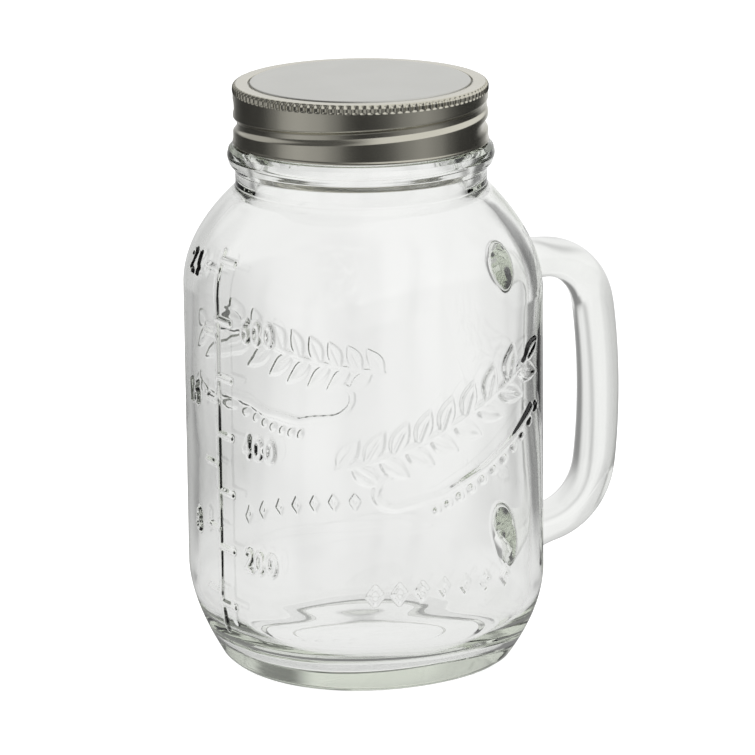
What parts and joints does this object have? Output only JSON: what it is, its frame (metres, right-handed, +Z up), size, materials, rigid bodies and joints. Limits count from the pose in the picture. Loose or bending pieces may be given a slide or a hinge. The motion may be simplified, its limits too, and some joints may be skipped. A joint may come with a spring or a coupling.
{
  "type": "handled glass storage jar",
  "caption": "Square-shouldered clear glass jar with an integral handle, measuring rule and threaded neck, closed by a disc and knurled screw band.",
  "frame": {"origin": "jar axis at the plane it stands on", "axes": "+Z up along the jar's axis, handle towards +X, measuring rule towards -X"},
  "size_m": [0.1317, 0.0968, 0.1673],
  "materials": {
    "clear_glass": "clear pressed glass, faintly grey-green where thick",
    "satin_plate": "satin lacquered tinplate",
    "satin_band": "satin pewter-coloured tinplate",
    "seal_rubber": "matt sealing compound"
  },
  "bodies": {
    "jar": {"glass_jar": "clear_glass"},
    "lid": {"lid_disc": "satin_plate", "sealing_ring": "seal_rubber"},
    "band": {"screw_band": "satin_band"}
  },
  "joints": [
    {"name": "lid_rise", "type": "slide", "parent": "jar", "child": "lid", "axis": [0, 0, 1], "range_m": [0, 0.02034]},
    {"name": "band_turn", "type": "hinge", "parent": "lid", "child": "band", "pos_m": [0, 0, 0.158], "axis": [0, 0, 1], "range_deg": [0, 720]}
  ],
  "couplings": [
    {"joint": "lid_rise", "follows": "band_turn", "m_per_rad": 0.001617}
  ]
}
